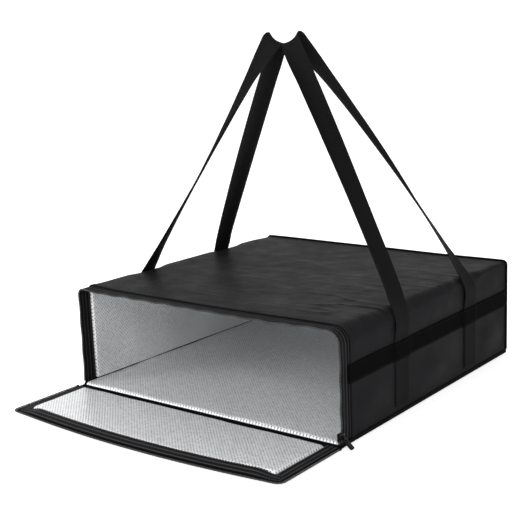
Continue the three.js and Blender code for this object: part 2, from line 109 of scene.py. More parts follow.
TAPE_INSET = 0.0017
TAPE_SEWN_IN = 0.008
TAPE_REACH = 0.0226
TAPE_THICK = 0.0008
COIL_AT = 0.0232
COIL_PITCH = 0.0017
COIL_REACH, COIL_RISE = 0.0014, 0.00072

# Flap: the fold's line, the flap's own form, and the bound border with its tape

HINGE_Y = -0.275
FLAP_HALF = 0.259
FLAP_LENGTH = 0.155
FLAP_CORNER = 0.013
FLAP_CROWN = 1.9
TIGHTEST_CORNER = 0.003
FLAP_CLOTH_INSET = 0.0028
BORDER = 0.024
FLAP_TAPE_WIDTH, FLAP_TAPE_INSET = 0.0180, 0.0161

# Webbing: straps sewn to the side walls, bands across them, and the free loops above

WEB_WIDTH = 0.038
WEB_THICK = 0.0016
STRAP_FRONT = -0.108
STRAP_REAR = 0.103
STRAP_BOTTOM = 0.014
STRAP_OUT = 0.0011
SEAM_FROM_MIDDLE = 0.0155
BAND_LOW, BAND_HIGH = 0.084, 0.112
BAND_THICK = 0.0014
PIVOT_X, PIVOT_Z = 0.2551, 0.147515
LEAN = math.radians(31)
APEX_Y = -0.024
APEX_RADIUS = 0.007
HANDLE_TOP_RUN = 0.4628

WALL_RUN = HEIGHT - FOLD
FOLD_RUN = FOLD * math.pi / 2
TOP_RUN = 2 * (HALF_WIDTH - FOLD)
ARCH_RUN = 2 * (WALL_RUN + FOLD_RUN) + TOP_RUN

UP = np.array([0.0, 0.0, 1.0])
INTO_BAG = np.array([0.0, 1.0, 0.0])
LATTICE = 128

# Small tools for shapes


def smooth(t):
    """Smooth step: 3 t squared less 2 t cubed, with t held from 0 to 1."""
    t = np.clip(t, 0, 1)
    return t * t * (3 - 2 * t)


def bell(distance, width):
    """A bell curve: e to the power of less the squared share of distance and width."""
    return np.exp(-((distance / width) ** 2))


def lattice_noise(u, v, seed):
    """Smooth noise from -1 to 1: seeded heights on a unit lattice, joined by smooth steps."""
    table = np.random.default_rng(seed).uniform(-1, 1, (LATTICE, LATTICE))
    u, v = np.broadcast_arrays(np.asarray(u, float), np.asarray(v, float))
    i, j = np.floor(u).astype(int), np.floor(v).astype(int)
    a, b = smooth(u - i), smooth(v - j)

    def at(p, q):
        return table[p % LATTICE, q % LATTICE]

    low = at(i, j) * (1 - a) + at(i + 1, j) * a
    high = at(i, j + 1) * (1 - a) + at(i + 1, j + 1) * a
    return low * (1 - b) + high * b


def unit(vectors):
    """Vectors at length one."""
    return vectors / np.linalg.norm(vectors, axis=-1, keepdims=True)


def joined(*parts):
    """Coordinates stacked into points."""
    return np.stack(np.broadcast_arrays(*parts), axis=-1).astype(float)


def at_height(line, z):
    """Points of a line on the ground, raised to a height."""
    return joined(line[:, 0], line[:, 1], z)


def same_for(points, direction):
    """One direction, repeated for every point."""
    return np.broadcast_to(direction, points.shape)


def spaced(low, high, step):
    """Even values from low to high, about a step apart."""
    return np.linspace(low, high, int(round(abs(high - low) / step)) + 1)


def round_arch(start, step):
    """Runs round the arch of the walls, from a start above the ground to the same on the right."""
    return spaced(start, ARCH_RUN - start, step)


def crowded(low, high, count, power=1.6):
    """Values from low to high that crowd towards both ends."""
    t = np.linspace(-1, 1, count)
    t = np.sign(t) * (1 - (1 - np.abs(t)) ** power)
    return low + (high - low) * (t + 1) / 2


def even_angles(steps):
    """Angles evenly round a circle."""
    return np.linspace(0, 2 * math.pi, steps, endpoint=False)


def on_circle(angle):
    """Unit vectors in a plane: the cosine and the sine of each angle."""
    return np.stack([np.cos(angle), np.sin(angle)], axis=-1)


def runs_along(points):
    """Distance run along a polyline up to each of its points."""
    steps = np.linalg.norm(np.diff(points, axis=0), axis=1)
    return np.concatenate([[0.0], np.cumsum(steps)])


def sampled(points, runs, wanted):
    """Points of a polyline at the wanted runs, each axis interpolated on its own."""
    return np.stack([np.interp(wanted, runs, points[:, k]) for k in range(points.shape[1])], axis=1)


def grid_faces(rows, columns, closed=False):
    """Quads between the neighbouring points of a grid, whose columns may close on themselves."""
    i, j = np.meshgrid(
        np.arange(rows - 1), np.arange(columns if closed else columns - 1), indexing="ij"
    )
    k = (j + 1) % columns
    quads = (i * columns + j, i * columns + k, (i + 1) * columns + k, (i + 1) * columns + j)
    return np.stack(quads, axis=-1).reshape(-1, 4)


def signed_volume(points, face_sets):
    """Sum of the tetrahedra from the origin to each triangle of each face's fan."""
    total = 0.0
    for faces in face_sets:
        for k in range(1, faces.shape[1] - 1):
            a, b, c = points[faces[:, 0]], points[faces[:, k]], points[faces[:, k + 1]]
            total += np.einsum("ij,ij->i", a, np.cross(b, c)).sum() / 6
    return total


def build(name, points, face_sets, uv, material, sharp=50):
    """A closed mesh that faces outwards, smooth except along edges sharper than an angle."""
    points = np.asarray(points, float).reshape(-1, 3)
    centred = points - points.mean(axis=0)
    if signed_volume(centred, face_sets) < 0:
        face_sets = [faces[:, ::-1] for faces in face_sets]
    corners = np.concatenate([faces.ravel() for faces in face_sets]).astype(np.int32)
    sizes = np.concatenate([np.full(len(faces), faces.shape[1]) for faces in face_sets])
    starts = np.concatenate([[0], np.cumsum(sizes)[:-1]]).astype(np.int32)
    mesh = bpy.data.meshes.new(name)
    mesh.vertices.add(len(points))
    mesh.vertices.foreach_set("co", points.astype(np.float32).ravel())
    mesh.loops.add(len(corners))
    mesh.loops.foreach_set("vertex_index", corners)
    mesh.polygons.add(len(sizes))
    mesh.polygons.foreach_set("loop_start", starts)
    mesh.polygons.foreach_set("use_smooth", np.ones(len(sizes), bool))
    layer = mesh.uv_layers.new(name="UVMap")
    uv = np.asarray(uv, np.float32).reshape(-1, 2)
    layer.data.foreach_set("uv", uv[corners].ravel())
    mesh.update(calc_edges=True)
    mesh.validate()
    mesh.set_sharp_from_angle(angle=math.radians(sharp))
    mesh.materials.append(material)
    return add_object(name, mesh)


def slab(name, outer, inner, uv, material, sharp=50):
    """A closed layer between two grids of points, with a rim round their edges."""
    rows, columns = outer.shape[:2]
    count = rows * columns
    front = grid_faces(rows, columns)
    index = np.arange(count).reshape(rows, columns)
    loop = np.concatenate([index[0], index[1:, -1], index[-1, -2::-1], index[-2:0:-1, 0]])
    after = np.roll(loop, -1)
    rim = np.stack([after, loop, loop + count, after + count], axis=1)
    points = np.concatenate([outer.reshape(-1, 3), inner.reshape(-1, 3)])
    both = np.concatenate([uv.reshape(-1, 2), uv.reshape(-1, 2)])
    return build(name, points, [front, front[:, ::-1] + count, rim], both, material, sharp)


def sweep(name, centre, across, facing, profile, material, uv_across=None, sharp=50):
    """A closed profile carried along a path: centre + across * a + facing * b, with flat ends.

    The profile holds (a, b) pairs, either one ring for the whole path or one ring per point.
    """
    rows = len(centre)
    profile = np.broadcast_to(profile, (rows,) + profile.shape[-2:])
    columns = profile.shape[1]
    points = (
        centre[:, None]
        + across[:, None] * profile[..., :1]
        + facing[:, None] * profile[..., 1:]
    )
    along = runs_along(centre)
    side = profile[..., 0] if uv_across is None else np.broadcast_to(uv_across, (rows, columns))
    uv = joined(along[:, None], side)
    body = grid_faces(rows, columns, closed=True)
    first = np.arange(columns)
    caps = np.stack([first[::-1], first + (rows - 1) * columns])
    return build(name, points, [body, caps], uv, material, sharp)


def oblong(width, thickness, steps=9, power=14):
    """Cross-section of a woven strip: half the thickness times the root of 1 - |a| ** power."""
    a = -np.cos(np.linspace(0, math.pi, steps))
    height = np.sqrt(np.clip(1 - np.abs(a) ** power, 0, 1))
    top = np.stack([a * width / 2, height * thickness / 2], axis=1)
    bottom = top[-2:0:-1] * np.array([1, -1])
    return np.concatenate([top, bottom])[::-1]


def ring(radius_a, radius_b, steps):
    """An ellipse as a counter-clockwise profile."""
    return np.array([radius_a, radius_b]) * on_circle(even_angles(steps))


def cord_rings(middle, directions, offsets):
    """Rings of short cords round their middles: the sum of each direction times its offset."""
    points = middle[:, None, None]
    for direction, offset in zip(directions, offsets):
        points = points + direction[:, None, None] * offset[None, ..., None]
    return points


def short_cords(name, cords, material, sharp=50):
    """Many short cords as one mesh: each is a tube of rings with a flat cap on both ends."""
    count, rings, sides = cords.shape[:3]
    size = rings * sides
    first = np.arange(count)[:, None, None] * size
    tube = (first + grid_faces(rings, sides, closed=True)[None]).reshape(-1, 4)
    low = (first[:, 0] + np.arange(sides)[::-1]).reshape(-1, sides)
    high = (first[:, 0] + size - sides + np.arange(sides)).reshape(-1, sides)
    return build(name, cords, [tube, low, high], np.zeros((count * size, 2)), material, sharp)


# Form of the padded shell

# Fields of a side wall between straps, bands and edges; a Z field also has its greatest swell

Y_FIELDS = ((-HALF_DEPTH, -0.130), (-0.086, 0.081), (0.125, HALF_DEPTH))
Z_FIELDS = ((0.010, 0.083, 0.0042), (0.113, 0.156, 0.0013))
TOP_DIP = 0.0042
LEFT_CREST, CREST_X = 0.0022, -0.243
BACK_SAG = 0.0026

# Depth over which the right fold tightens

FOLD_CHANGE = 0.44


def field_swell(y, z):
    """Outward swell of a side wall: in each field, its most times the squared sine of the share
    across and the squared sine of the share up."""
    total = 0
    for y_low, y_high in Y_FIELDS:
        across = np.clip((y - y_low) / (y_high - y_low), 0, 1)
        for z_low, z_high, most in Z_FIELDS:
            up = np.clip((z - z_low) / (z_high - z_low), 0, 1)
            total = total + most * np.sin(math.pi * across) ** 2 * np.sin(math.pi * up) ** 2
    return total


def top_dip(x, y):
    """Downward dip of the top: a shallow dish, shallower at the mouth and the back, less a low
    crest along the left fold, and a sag towards the back right corner."""
    across = np.clip(1 - (x / (HALF_WIDTH - FOLD)) ** 2, 0, 1) ** 2
    along = 0.35 + 0.65 * np.clip(1 - (y / HALF_DEPTH) ** 2, 0, 1)
    crest = LEFT_CREST * bell(x - CREST_X, 0.035) * smooth((HALF_DEPTH - y) / 0.06)
    sag = BACK_SAG * smooth((x + 0.02) / 0.20) * smooth((y - 0.06) / 0.17)
    return TOP_DIP * across * along - crest + sag


def fold_radius(y, right):
    """Radius of the fold between a wall and the top. It tightens evenly towards the back and is
    tighter on the left, and where a strap leaves the wall the strap holds the fold open."""
    back = np.clip((y + HALF_DEPTH) / FOLD_CHANGE, 0, 1)
    radius = np.where(right, FOLD_FRONT + (FOLD_REAR - FOLD_FRONT) * back, FOLD_LEFT)
    for strap in (STRAP_FRONT, STRAP_REAR):
        held = smooth((0.050 - np.abs(y - strap)) / 0.026)
        radius = radius + np.maximum(FOLD_AT_STRAP - radius, 0) * held
    return radius


def arch(s, y, inset=0.0):
    """Point and outward normal at a run s round the arch of the walls, at a depth and an inset.

    The arch is a line up the left wall, a quarter circle, a line over the top, a quarter
    circle and a line down the right wall. The run is shared out as on an arch of the mean fold.
    """
    s, y = np.broadcast_arrays(np.asarray(s, float), np.asarray(y, float))
    left, right = (
        np.maximum(fold_radius(y, side) - inset, TIGHTEST_FOLD) for side in (False, True)
    )
    radius = np.where(s > ARCH_RUN / 2, right, left)
    wall = HEIGHT - inset - radius
    first = np.clip((s - WALL_RUN) / FOLD_RUN, 0, 1) * math.pi / 2
    second = np.clip((s - WALL_RUN - FOLD_RUN - TOP_RUN) / FOLD_RUN, 0, 1) * math.pi / 2
    angle = math.pi - first - second
    over = np.clip((s - WALL_RUN - FOLD_RUN) / TOP_RUN, 0, 1)
    half = HALF_WIDTH - inset
    x = (left - half) * (1 - over) + (half - right) * over + radius * np.cos(angle)
    up = np.minimum(s, WALL_RUN) - np.clip(s - (ARCH_RUN - WALL_RUN), 0, WALL_RUN)
    z = up / WALL_RUN * wall + radius * np.sin(angle)
    return x, z, np.cos(angle), np.sin(angle)


def swell(s, y):
    """How far the cloth stands out from the plain arch at a run s and a depth y."""
    x, z, _, normal_z = arch(s, y)
    return field_swell(y, z) * (1 - normal_z**2) - top_dip(x, y) * normal_z**2


def shell_point(s, y, inset=0.0):
    """Points at an inset under the swollen arch, and the arch's own normals."""
    s, y, inset = np.broadcast_arrays(np.asarray(s, float), y, inset)
    x, z, normal_x, normal_z = arch(s, y, inset)
    out = swell(s, y)
    points = joined(x + normal_x * out, y, z + normal_z * out)
    return points, joined(normal_x, 0 * y, normal_z)


def creases(s, y):
    """Wrinkles of the cloth. The top has sharp ridges where a long noise passes nought, in
    patches, with a broad low noise, all stronger at the mouth, by the straps and on the right.
    The walls have one slanting noise. Both fade out at the mouth's and the back's edge."""
    x, z, _, normal_z = arch(s, y)
    top = normal_z**2
    long_folds = lattice_noise(s / 0.095 + 4 * y, y / 0.021, 3)
    short_folds = lattice_noise(s / 0.040 - 5 * y, y / 0.011, 11)
    ridges = 1.1 * (1 - np.abs(long_folds)) ** 7 + 0.22 * short_folds
    more_right = 0.55 + 0.45 * smooth((x + 0.1) / 0.25)
    broad = lattice_noise(s / 0.09, y / 0.07, 23)
    wall = lattice_noise((s + 0.5 * y) / 0.03, (y - 0.3 * s) / 0.06, 31)
    edge = smooth((HALF_DEPTH - np.abs(y)) / 0.02)
    near = 0.5 + 0.6 * smooth((-0.05 - y) / 0.12)
    for strap in (STRAP_FRONT, STRAP_REAR):
        near = near + 0.7 * bell(y - strap, 0.06) * smooth((x - 0.08) / 0.12)
    patches = 0.45 + 0.9 * smooth(lattice_noise(s / 0.12, y / 0.08, 47) + 0.45)
    on_top = top * near * (0.00075 * ridges * patches * more_right**1.5 + 0.0009 * broad)
    on_wall = (1 - top) * 0.00042 * wall * smooth((z - 0.012) / 0.03)
    return edge * (on_top + on_wall)


# Materials


class Surface:
    """A Principled material whose nodes are added one by one."""

    def __init__(self, name, color, roughness, metallic=0.0, **sockets):
        self.material = bpy.data.materials.new(name)
        self.material.use_nodes = True
        self.tree = self.material.node_tree
        self.shader = self.tree.nodes["Principled BSDF"]
        self.shader.inputs["Base Color"].default_value = (*color, 1)
        self.shader.inputs["Roughness"].default_value = roughness
        self.shader.inputs["Metallic"].default_value = metallic
        for socket, value in sockets.items():
            self.shader.inputs[socket.replace("_", " ")].default_value = value
        self.normal = None

    def node(self, kind, settings=None, **inputs):
        node = self.tree.nodes.new(kind)
        for key, value in (settings or {}).items():
            setattr(node, key, value)
        for key, value in inputs.items():
            self.feed(node.inputs[key.replace("_", " ")], value)
        return node

    def feed(self, socket, value):
        if isinstance(value, bpy.types.NodeSocket):
            self.tree.links.new(value, socket)
        else:
            socket.default_value = value

    def math(self, operation, a, b=0.0):
        node = self.node("ShaderNodeMath", {"operation": operation})
        self.feed(node.inputs[0], a)
        self.feed(node.inputs[1], b)
        return node.outputs[0]

    def uv(self):
        return self.node("ShaderNodeUVMap", {"uv_map": "UVMap"}).outputs["UV"]

    def place(self):
        return self.node("ShaderNodeTexCoord").outputs["Object"]

    def split(self, vector):
        return self.node("ShaderNodeSeparateXYZ", Vector=vector).outputs

    def noise(self, vector, scale, detail=3.0, roughness=0.55):
        node = self.node(
            "ShaderNodeTexNoise", Vector=vector, Scale=scale, Detail=detail, Roughness=roughness
        )
        return node.outputs["Fac"]

    def ramp(self, value, stops):
        node = self.node("ShaderNodeValToRGB", Fac=value)
        elements = node.color_ramp.elements
        while len(elements) < len(stops):
            elements.new(0.5)
        for element, (at, shade) in zip(elements, stops):
            element.position = at
            element.color = (*shade, 1) if hasattr(shade, "__len__") else (shade,) * 3 + (1,)
        return node.outputs["Color"]

    def wave_of(self, coordinate, pitch):
        """From 0 to 1 and back once in each pitch, as a sine."""
        turns = self.math("MULTIPLY", coordinate, 2 * math.pi / pitch)
        return self.math("MULTIPLY_ADD", self.math("SINE", turns), 0.5)

    def bump(self, height, distance, strength=1.0):
        inputs = {"Height": height, "Distance": distance, "Strength": strength}
        if self.normal is not None:
            inputs["Normal"] = self.normal
        self.normal = self.node("ShaderNodeBump", **inputs).outputs["Normal"]
        self.feed(self.shader.inputs["Normal"], self.normal)

    def paint(self, color):
        self.feed(self.shader.inputs["Base Color"], color)

    def gloss(self, value):
        self.feed(self.shader.inputs["Roughness"], value)


def woven_height(surface, pitch):
    """A plain weave: the difference between the two sines of the UV axes, without its sign."""
    axes = surface.split(surface.uv())
    warp = surface.wave_of(axes[0], pitch)
    weft = surface.wave_of(axes[1], pitch)
    return surface.math("ABSOLUTE", surface.math("SUBTRACT", warp, weft))


def coated_cloth():
    """Black coated cloth: a fine plain weave under a satin coat, with soft scuffs."""
    s = Surface("coated_cloth", (0.007, 0.007, 0.0078), 0.5, Specular_IOR_Level=0.018)
    s.bump(woven_height(s, 0.0011), 0.00012, 0.4)
    s.bump(s.noise(s.place(), 46, 4), 0.0010, 0.3)
    cloudy = s.noise(s.place(), 7, 4)
    s.paint(s.ramp(cloudy, [(0.3, (0.0078, 0.0078, 0.0088)), (0.75, (0.0132, 0.0132, 0.0146))]))
    s.gloss(s.ramp(s.noise(s.place(), 30, 3), [(0.3, 0.44), (0.75, 0.56)]))
    return s.material


def woven_webbing(name, shade):
    """Black webbing: close ribs along it and picks that step across them. The shade factor scales
    its tone, and so paints light and shade into its copies.
    """
    s = Surface(name, (0.005, 0.005, 0.0054), 0.7, Specular_IOR_Level=0.016 * shade)
    axes = s.split(s.uv())
    ribs = s.wave_of(axes[1], 0.0021)
    picks = s.wave_of(s.math("ADD", axes[0], s.math("MULTIPLY", axes[1], 0.5)), 0.0024)
    both = s.math("MULTIPLY", s.math("POWER", ribs, 0.6), s.math("ADD", picks, 0.5))
    s.bump(both, 0.00035, 0.8)
    low, high = shade * np.array([(0.0024, 0.0024, 0.0026), (0.0106, 0.0106, 0.011)])
    s.paint(s.ramp(both, [(0.0, low), (1.0, high)]))
    return s.material


def zipper_cloth(name, ground, line):
    """Zipper tape in a ground tone with fine cords, and a line tone of painted highlight every 7.2
    mm.
    """
    tint = np.array([1.0, 1.0, 1.07])
    s = Surface(name, ground * tint, 0.7, Specular_IOR_Level=0.05)
    axes = s.split(s.uv())
    cords = s.wave_of(axes[1], 0.0013)
    picks = s.wave_of(axes[0], 0.0011)
    mixed = s.math("MULTIPLY", cords, s.math("ADD", picks, 0.6))
    lines = s.math("POWER", s.wave_of(axes[1], 0.0072), 5)
    s.bump(mixed, 0.0002, 0.7)
    s.bump(lines, 0.0005, 0.7)
    worked = s.math("ADD", s.math("MULTIPLY", mixed, 0.15), s.math("MULTIPLY", lines, 0.8))
    dark, middle = ground * 0.7 * tint, ground * 1.2 * tint
    # The line tone on the ribs is a painted highlight.
    s.paint(s.ramp(worked, [(0.0, dark), (0.25, middle), (0.75, line * tint)]))
    return s.material


def bias_binding():
    """Black bound edge in a twill, a little duller than the cloth."""
    s = Surface("bias_binding", (0.004, 0.004, 0.0044), 0.7, Specular_IOR_Level=0.02)
    axes = s.split(s.uv())
    twill = s.wave_of(s.math("ADD", axes[0], axes[1]), 0.0012)
    s.bump(twill, 0.00015, 0.6)
    s.paint(s.ramp(twill, [(0.0, (0.002, 0.002, 0.0022)), (1.0, (0.005, 0.005, 0.0054))]))
    return s.material


def coil_plastic():
    """Grey nylon of the zipper's coil, with lighter patches at random as painted sheen."""
    s = Surface("coil_plastic", (0.05, 0.05, 0.053), 0.36, Specular_IOR_Level=0.4)
    painted_sheen = s.noise(s.place(), 260, 3)
    # The lighter patches are painted sheen; the roughness stays the same all over.
    s.paint(s.ramp(painted_sheen, [(0.25, (0.03, 0.03, 0.032)), (0.8, (0.085, 0.085, 0.09))]))
    return s.material


def thread():
    """Charcoal sewing thread."""
    s = Surface("sewing_thread", (0.008, 0.008, 0.0085), 0.6, Specular_IOR_Level=0.06)
    s.bump(s.noise(s.place(), 2600, 2), 0.0001, 0.6)
    s.paint(s.ramp(s.noise(s.place(), 500, 2), [(0.3, (0.005,) * 3), (0.8, (0.013,) * 3)]))
    return s.material


def foil_film():
    """Metallised film on padding: a slanting grid of pressed dots over soft creases."""
    s = Surface("foil_film", (0.78, 0.79, 0.80), 0.3, 0.4)
    axes = s.split(s.uv())
    slant_a = s.wave_of(s.math("ADD", axes[0], axes[1]), 0.0056)
    slant_b = s.wave_of(s.math("SUBTRACT", axes[0], axes[1]), 0.0056)
    dots = s.math("MULTIPLY", slant_a, slant_b)
    s.bump(s.noise(s.place(), 34, 2, 0.42), 0.0020, 0.5)
    s.bump(s.math("POWER", dots, 1.5), 0.0010, 0.9)
    # Grey specks at random, darker on the pressed dots, where the darkening is painted shade.
    specks_and_dot_shade = s.math("MULTIPLY", s.math("ADD", dots, 0.35), s.noise(s.place(), 210, 2))
    bright, middle, dark = (0.93, 0.935, 0.94), (0.76, 0.77, 0.785), (0.36, 0.365, 0.38)
    s.paint(s.ramp(specks_and_dot_shade, [(0.12, bright), (0.42, middle), (0.62, dark)]))
    s.gloss(s.ramp(s.noise(s.place(), 60, 3), [(0.3, 0.30), (0.8, 0.40)]))
    return s.material


def black_metal():
    """Black enamelled metal of the slider, with bright wear in fine scratches."""
    s = Surface("black_metal", (0.008, 0.008, 0.009), 0.24, Specular_IOR_Level=0.14)
    scratches = s.noise(s.place(), 900, 5, 0.7)
    s.paint(s.ramp(scratches, [(0.55, (0.004,) * 3), (0.85, (0.022,) * 3)]))
    s.gloss(s.ramp(scratches, [(0.3, 0.16), (0.8, 0.36)]))
    s.bump(scratches, 0.00003, 0.4)
    return s.material


CLOTH_MATERIAL = coated_cloth()
# One webbing in two tones: the handles' copy is painted lighter as painted light, the bands' copy
# darker as painted shade.
HANDLE_WEBBING_PAINTED_LIGHT = woven_webbing("woven_webbing", 1.4)
BAND_WEBBING_PAINTED_SHADE = woven_webbing("band_webbing_painted_shade", 0.45)
MOUTH_TAPE_MATERIAL = zipper_cloth("mouth_tape_cloth", 0.0055, 0.036)
# The flap's tape is painted twice as light as the mouth's, as painted light on its border.
FLAP_TAPE_PAINTED_LIGHTER = zipper_cloth("flap_tape_cloth_painted_light", 0.011, 0.062)
BINDING_MATERIAL = bias_binding()
COIL_MATERIAL = coil_plastic()
THREAD_MATERIAL = thread()
FOIL_MATERIAL = foil_film()
METAL_MATERIAL = black_metal()

# Sewing threads, gathered for each body and built at the end

thread_parts = {"shell": [], "flap": []}
THREAD_SHARES = np.array([0.0, 0.16, 0.5, 0.84, 1.0])
THREAD_FULLNESS = np.array([0.55, 1.0, 1.0, 1.0, 0.55])
THREAD_DIP = 0.0006
THREAD_SIDES = 5


def stitch(body, points, facing, pitch=0.0042, length=0.003, radius=0.00033, lift=0.0002):
    """Stitches along a seam line: short bowed cords at an even pitch, whose ends dip under the
    cloth. Along the share t, the cord rises as lift less the dip * (2 t - 1) ** 4."""
    along = runs_along(points)
    starts = np.arange(pitch / 2, along[-1] - length, pitch)
    middle = sampled(points, along, starts + length / 2)
    forward = unit(sampled(points, along, starts + length) - sampled(points, along, starts))
    up = unit(sampled(same_for(points, facing), along, starts + length / 2))
    side = unit(np.cross(forward, up))
    up = np.cross(side, forward)
    rise = lift - THREAD_DIP * (2 * THREAD_SHARES - 1) ** 4
    round_cord = radius * THREAD_FULLNESS[:, None, None] * on_circle(even_angles(THREAD_SIDES))
    sideways, upwards = round_cord[..., 0], rise[:, None] + round_cord[..., 1]
    onwards = np.broadcast_to(((THREAD_SHARES - 0.5) * length)[:, None], sideways.shape)
    cords = cord_rings(middle, (forward, side, up), (onwards, sideways, upwards))
    thread_parts[body].append(cords)


def build_threads(body):
    """All stitches of a body as one mesh of five-sided cords."""
    thing = short_cords(f"stitching_{body}", np.concatenate(thread_parts[body]), THREAD_MATERIAL)
    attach(thing, body)


# Shell cloth


def add_outer_wrap():
    """Cloth up one wall, over the top and down the other: the swollen arch with its creases, at
    each depth, and a cloth's thickness inside it the same surface with softer creases."""
    s = round_arch(CLOTH_HEM, CLOTH_STEP)[:, None]
    y = spaced(-HALF_DEPTH, HALF_DEPTH - 0.0012, CLOTH_STEP)[None]
    points, normals = shell_point(s, y)
    folds = creases(s, y)[..., None]
    outer = points + normals * folds
    inner = points - normals * CLOTH + normals * (folds * 0.6)
    wrap = slab("outer_wrap_cloth", outer, inner, joined(s, y), CLOTH_MATERIAL)
    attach(wrap, "shell")
    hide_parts("outer_wrap", "foam_top", "foam_left", "foam_right", "foam_back", "foam_base")


def top_height(x, y, inset=0.0):
    """Height of the arch above a place across the bag, at a depth and an inset."""
    radius = np.maximum(fold_radius(y, x > 0) - inset, TIGHTEST_FOLD)
    half_top = HALF_WIDTH - inset - radius
    beyond = np.clip(np.abs(x) - half_top, 0, radius)
    return HEIGHT - inset - radius + np.sqrt(radius**2 - beyond**2) - top_dip(x, y)


def end_grid(half, y, bottom, inset, columns=110, rows=44):
    """Points of an end wall in columns that crowd towards its sides, up to the arch. It gives X,
    Z, and the shares across, from -1 to 1, and up, from 0 to 1."""
    even = np.linspace(-1, 1, columns)
    u = 0.6 * np.sin(even * math.pi / 2) + 0.4 * even
    share = np.linspace(0, 1, rows)[:, None]
    x = (u * half)[None]
    z = bottom + share * (top_height(x, y, inset) - bottom)
    return np.broadcast_arrays(x, z, u[None], share)


def add_outer_back():
    """Back panel: it bulges outwards as powers of 1 - u ** 2 and of the sine of the share up."""
    x, z, u, share = end_grid(HALF_WIDTH, HALF_DEPTH, CLOTH_HEM, 0.0)
    rise = np.sin(math.pi * share)
    bulge = 0.0042 * (1 - u**2) ** 0.8 * rise**0.9
    ripple = 0.0005 * lattice_noise(x / 0.05, z / 0.03, 41) * rise * (1 - u**8)
    outer = joined(x, HALF_DEPTH + bulge + ripple, z)
    inner = joined(x, HALF_DEPTH - CLOTH + bulge + ripple * 0.7, z)
    back = slab("outer_back_cloth", outer, inner, joined(x, z), CLOTH_MATERIAL)
    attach(back, "shell")
    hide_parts("outer_back")
    line, _ = shell_point(round_arch(0.012, 0.004), HALF_DEPTH, 0.006)
    line[:, 1] = HALF_DEPTH + 0.0006
    stitch("shell", line, INTO_BAG)


def flap_corner(inset):
    """Corner radius of the flap at an inset, the corner circle's middle in X and Y, the middle
    of the crown's circle in Y, and the distance between both middles."""
    radius = max(FLAP_CORNER - inset, TIGHTEST_CORNER)
    corner = FLAP_HALF - inset - radius
    crown_y = HINGE_Y - FLAP_LENGTH + FLAP_CROWN
    between = FLAP_CROWN - inset - radius
    return radius, corner, crown_y - math.sqrt(between**2 - corner**2), crown_y, between


def flap_front(x, inset=0.0):
    """Y of the flap's front edge: the crown's arc, and the corner's arc near both sides."""
    radius, corner, corner_y, crown_y, between = flap_corner(inset)
    join = corner * (FLAP_CROWN - inset) / between
    crown = crown_y - np.sqrt((FLAP_CROWN - inset) ** 2 - x**2)
    off = np.clip(np.abs(x) - corner, -radius, radius)
    rounded = corner_y - np.sqrt(np.clip(radius**2 - off**2, 0, None))
    return np.where(np.abs(x) < join, crown, rounded)


def add_ground_cloth():
    """Cloth under the base and the flap in one flat sheet across the hinge line. Its rows run
    from the back wall to the flap's front edge, closer together at the hinge line and at the front,
    and it widens from the base to the flap by a smooth step."""
    u = crowded(-1, 1, 91, 1.35)[None]
    share = np.concatenate([np.linspace(0, 0.74, 60), np.linspace(0.74, 0.80, 16)[1:],
                            np.linspace(0.80, 1, 34)[1:]])[:, None]
    flap_half = FLAP_HALF - FLAP_CLOTH_INSET
    front = flap_front(u * flap_half, FLAP_CLOTH_INSET)
    y = HALF_DEPTH + share * (front - HALF_DEPTH)
    widening = smooth((-HALF_DEPTH - y) / 0.03)
    x = u * (HALF_WIDTH + (flap_half - HALF_WIDTH) * widening)
    upper, under = joined(x, y, CLOTH), joined(x, y, 0)
    cloth = slab("ground_cloth", upper, under, joined(x, y), CLOTH_MATERIAL)
    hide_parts("outer_base", "flap_outer")
    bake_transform(cloth)


# Foil-lined padding. The film turns round the padding's front edge, the lip

LIP_START = -HALF_DEPTH + 0.0052
LIP_DEPTH, LIP_RISE = 0.0049, 0.0044
PAD_BOTTOM = 0.0013


def foil_waves(a, b, seed):
    """Soft waves and small creases of the film, from two stretched noises."""
    soft = lattice_noise(a / 0.045, b / 0.06, seed)
    small = lattice_noise(a / 0.011 + 2 * b, b / 0.016, seed + 1)
    return 0.0007 * soft + 0.00022 * small


def add_cavity_foil():
    """Lining of the walls and top. Its depth runs from the back wall to the mouth, where the
    film turns outwards round the padding's edge along a quarter of an ellipse."""
    s = round_arch(0.0076, 0.0045)[:, None]
    straight = spaced(HALF_DEPTH - 0.0072, LIP_START, 0.0045)
    turn = np.linspace(0, math.pi / 2, 8)[1:]
    y = np.concatenate([straight, LIP_START - LIP_DEPTH * np.sin(turn)])[None]
    turned_out = LIP_RISE * np.concatenate([0 * straight, 1 - np.cos(turn)])
    inset = (PADDED_WALL - turned_out)[None]
    waves = foil_waves(s, y, 51) * smooth((y + HALF_DEPTH - 0.006) / 0.02)
    waves = waves * smooth((HALF_DEPTH - 0.008 - y) / 0.02)
    points, normals = shell_point(s, y, inset)
    inner = points + normals * np.minimum(waves, 0.0002)[..., None]
    behind, _ = shell_point(s, np.maximum(y, -HALF_DEPTH + 0.0007), inset - FILM)
    outer = np.where((inset < PADDED_WALL)[..., None], behind, inner + normals * FILM)
    lining = slab("cavity_foil", outer, inner, joined(s, y), FOIL_MATERIAL)
    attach(lining, "shell")
    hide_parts("lining_walls")


def add_back_foil():
    """Lining of the back wall, a sheet that bulges a little into the bag, as powers of 1 - u ** 2
    and of the sine of the share up, with the film's waves."""
    half = HALF_WIDTH - CAVITY_INSET
    x, z, u, share = end_grid(half, HALF_DEPTH - 0.007, 0.0078, CAVITY_INSET)
    pillow = np.clip(1 - u**2, 0, 1) ** 0.5 * np.sin(math.pi * share) ** 0.6
    y = HALF_DEPTH - 0.0067 - 0.0011 * pillow + np.abs(foil_waves(x, z, 61)) * pillow
    front, behind = joined(x, y, z), joined(x, y + FILM, z)
    lining = slab("back_foil", behind, front, joined(x, z), FOIL_MATERIAL)
    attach(lining, "shell")
    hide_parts("lining_back")


